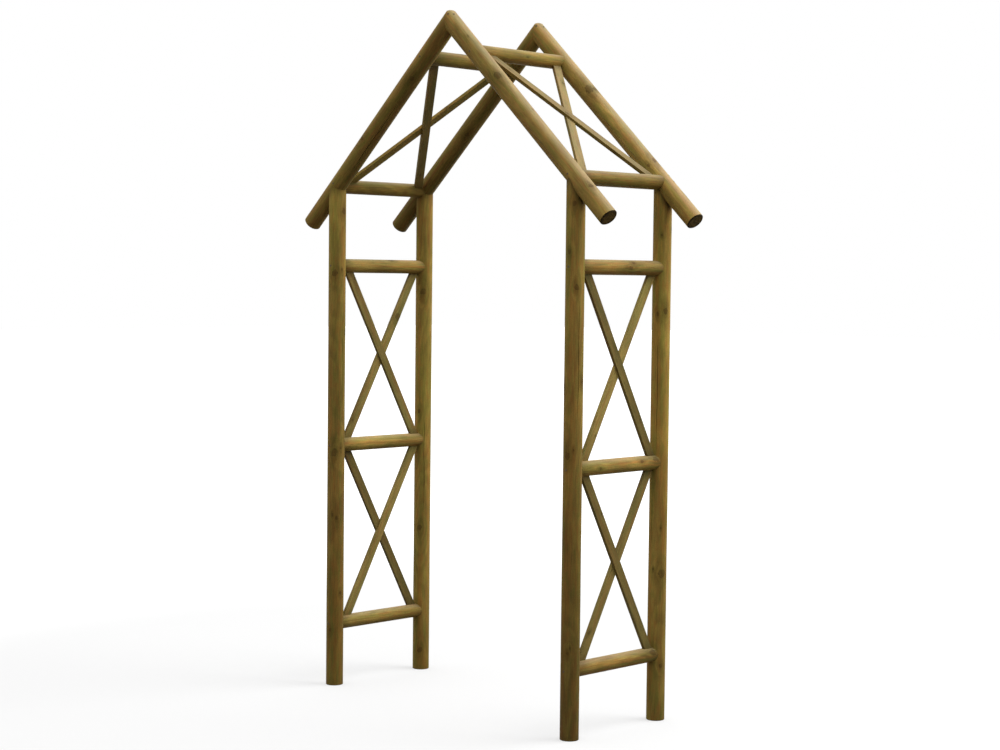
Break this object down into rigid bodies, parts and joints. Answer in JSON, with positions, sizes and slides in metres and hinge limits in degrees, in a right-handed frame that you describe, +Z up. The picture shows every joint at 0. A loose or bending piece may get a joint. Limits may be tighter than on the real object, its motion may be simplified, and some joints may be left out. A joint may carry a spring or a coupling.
{
  "type": "rustic garden arch",
  "caption": "Free-standing rustic garden arch of round timber poles, with cross-braced side frames and a steep open pitched roof to walk under.",
  "frame": {"origin": "on the ground, midway between the four posts", "axes": "+X to the right seen from the front, +Y from front to back, through the arch, +Z up"},
  "size_m": [1.4862, 0.492, 2.39],
  "materials": {
    "post": "machine-rounded, pressure-treated softwood, bare and slightly weathered",
    "rail": "machine-rounded, pressure-treated softwood, bare and slightly weathered",
    "side_brace": "sawn, pressure-treated softwood lath, bare and slightly weathered",
    "rafter": "machine-rounded, pressure-treated softwood, bare and slightly weathered",
    "purlin": "machine-rounded, pressure-treated softwood, bare and slightly weathered",
    "roof_brace": "sawn, pressure-treated softwood lath, bare and slightly weathered"
  },
  "bodies": {
    "root": {"post_front_left": "post", "post_front_right": "post", "post_rear_left": "post", "post_rear_right": "post", "rail_left_lower": "rail", "rail_left_middle": "rail", "rail_left_upper": "rail", "rail_right_lower": "rail", "rail_right_middle": "rail", "rail_right_upper": "rail", "brace_left_lower_outer": "side_brace", "brace_left_lower_inner": "side_brace", "brace_left_upper_outer": "side_brace", "brace_left_upper_inner": "side_brace", "brace_right_lower_outer": "side_brace", "brace_right_lower_inner": "side_brace", "brace_right_upper_outer": "side_brace", "brace_right_upper_inner": "side_brace", "rafter_front_left": "rafter", "rafter_front_right": "rafter", "rafter_rear_left": "rafter", "rafter_rear_right": "rafter", "purlin_left_eaves": "purlin", "purlin_left_upper": "purlin", "purlin_right_eaves": "purlin", "purlin_right_upper": "purlin", "roof_brace_left_outer": "roof_brace", "roof_brace_left_inner": "roof_brace", "roof_brace_right_outer": "roof_brace", "roof_brace_right_inner": "roof_brace"}
  },
  "joints": []
}
